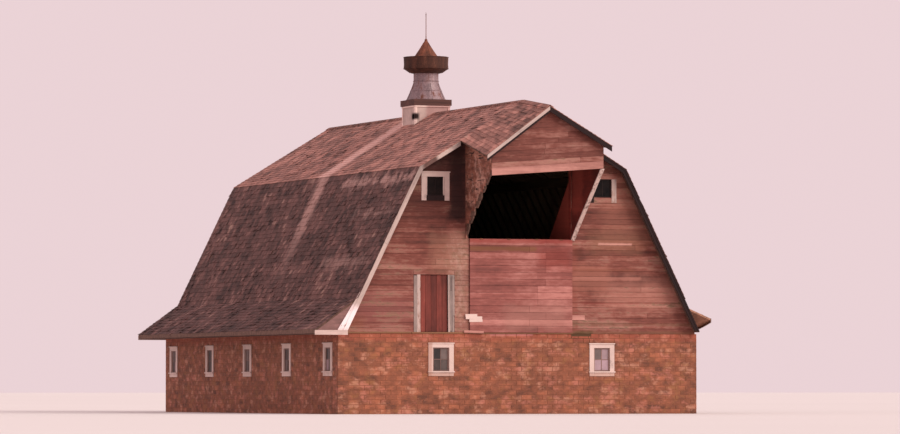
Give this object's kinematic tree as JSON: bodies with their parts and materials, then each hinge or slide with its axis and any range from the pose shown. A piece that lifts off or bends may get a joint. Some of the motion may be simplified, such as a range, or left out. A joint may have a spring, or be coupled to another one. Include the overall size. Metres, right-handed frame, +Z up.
{
  "type": "gambrel roof barn with hay hood",
  "caption": "Old two-storey hay barn: clay-tile ground storey, boarded gables, gambrel roof with kicked-out eaves, hay hood, lowered hay door and ridge ventilator.",
  "frame": {"origin": "on the ground under the middle of the whole barn, counting the hay hood at the front and the rake boards at the rear", "axes": "+X across the front to the right, +Y along the ridge towards the rear (the front looks towards -Y), +Z up"},
  "size_m": [12.6, 18.71, 12.05],
  "materials": {
    "clay_tile": "rough fired clay with thin mortar joints, mottled from orange to brown",
    "concrete": "rough, dusty",
    "red_siding": "faded red paint worn to brown bare boards in patches",
    "hay_door_red": "chalky pinkish red paint",
    "door_red": "dark red paint, streaked",
    "white_trim": "old white paint, stained and peeling",
    "weathered_wood": "bare weathered boards",
    "frame_timber": "rough sawn, dusty",
    "upper_shingles": "sun-bleached reddish brown cedar shingles",
    "lower_shingles": "dark grey-brown cedar shingles, curled and patchy",
    "window_glass": "dusty, dark behind",
    "galvanised": "dull galvanised sheet with rust stains",
    "rusty_metal": "rusted through the galvanising"
  },
  "bodies": {
    "root": {"ground_floor": "concrete", "front_tile_wall": "clay_tile", "rear_tile_wall": "clay_tile", "left_tile_wall": "clay_tile", "right_tile_wall": "clay_tile", "rear_door_lintel": "concrete", "rear_door_frame": "white_trim", "ground_window_frames": "white_trim", "ground_window_glass": "window_glass", "loft_posts": "frame_timber", "loft_girders": "frame_timber", "loft_joists": "frame_timber", "loft_floor": "frame_timber", "wall_plates": "frame_timber", "front_gable_wall": "red_siding", "rear_gable_wall": "red_siding", "loft_window_frames": "white_trim", "loft_window_glass": "window_glass", "loft_door": "door_red", "loft_door_jambs": "white_trim", "hay_door": "hay_door_red", "lower_rafters": "frame_timber", "upper_rafters": "frame_timber", "ridge_and_purlins": "frame_timber", "roof_left_upper": "upper_shingles", "roof_left_lower": "lower_shingles", "roof_right_upper": "upper_shingles", "roof_right_lower": "lower_shingles", "left_eave_flare": "lower_shingles", "right_eave_flare": "lower_shingles", "eave_soffits": "weathered_wood", "eave_fascias": "weathered_wood", "eave_end_panels": "weathered_wood", "eave_returns": "white_trim", "rake_boards": "white_trim", "hood_roof_left": "upper_shingles", "hood_roof_right": "upper_shingles", "hood_front_panel": "red_siding", "hood_left_cheek": "weathered_wood", "hood_right_cheek": "red_siding", "hood_ridge_beam": "frame_timber", "hood_rake_boards": "white_trim", "cupola_curb": "white_trim", "cupola_base": "weathered_wood", "cupola_skirt": "galvanised", "cupola_wind_band": "rusty_metal", "cupola_cap": "rusty_metal", "lightning_rod": "rusty_metal"}
  },
  "joints": []
}
